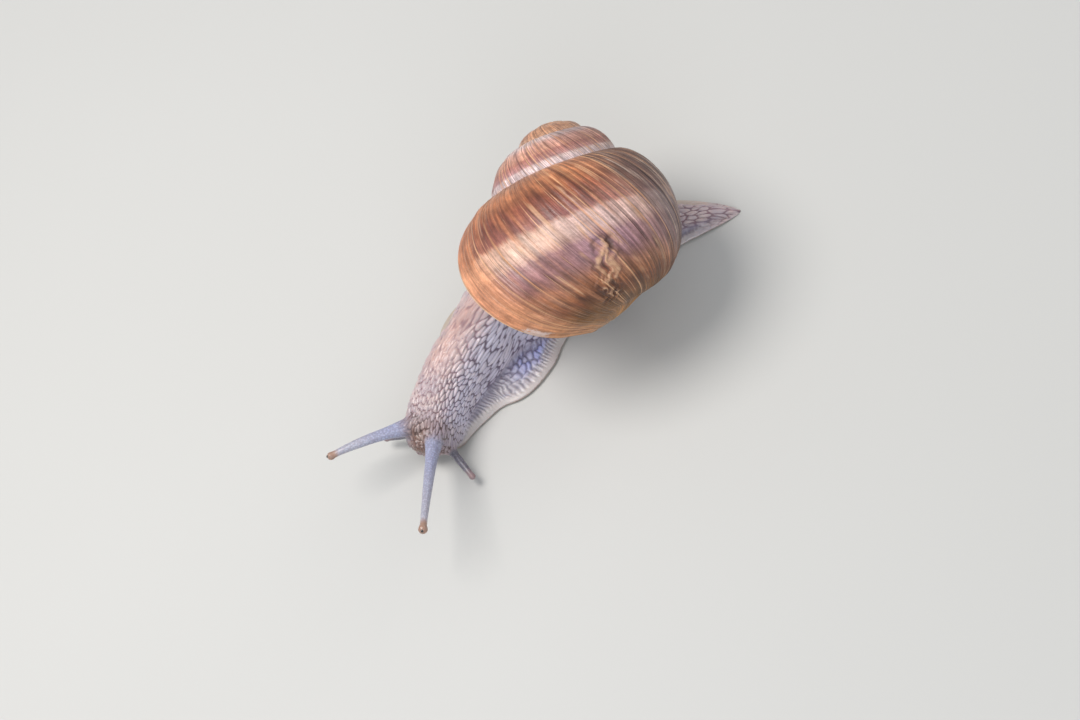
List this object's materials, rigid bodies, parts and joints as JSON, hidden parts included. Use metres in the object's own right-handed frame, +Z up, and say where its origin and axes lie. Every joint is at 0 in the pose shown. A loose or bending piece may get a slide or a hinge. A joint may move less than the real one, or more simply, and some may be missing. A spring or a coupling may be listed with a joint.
{
  "type": "garden snail",
  "caption": "Life-size still model of a crawling Roman snail with a coiled brown shell, a flat foot, a tapering tail, feelers held out in front and small dark eyes.",
  "frame": {"origin": "middle of the bounding box's plan, on the floor under the sole", "axes": "the snail faces -Y, its tail points to +Y, its left side is +X and +Z is up"},
  "size_m": [0.0416, 0.0786, 0.0368],
  "materials": {
    "shell_brown": "satin",
    "skin_beige": "moist, satin",
    "mantle_cream": "moist, satin",
    "feeler_grey": "moist, satin",
    "eye_black": "gloss"
  },
  "bodies": {
    "root": {"shell": "shell_brown", "mantle": "mantle_cream", "head": "skin_beige", "neck": "skin_beige", "trunk": "skin_beige", "foot_rear": "skin_beige", "tail": "skin_beige", "upper_tentacle_left": "feeler_grey", "upper_tentacle_right": "feeler_grey", "lower_tentacle_left": "feeler_grey", "lower_tentacle_right": "feeler_grey", "eye_left": "eye_black", "eye_right": "eye_black"}
  },
  "joints": []
}
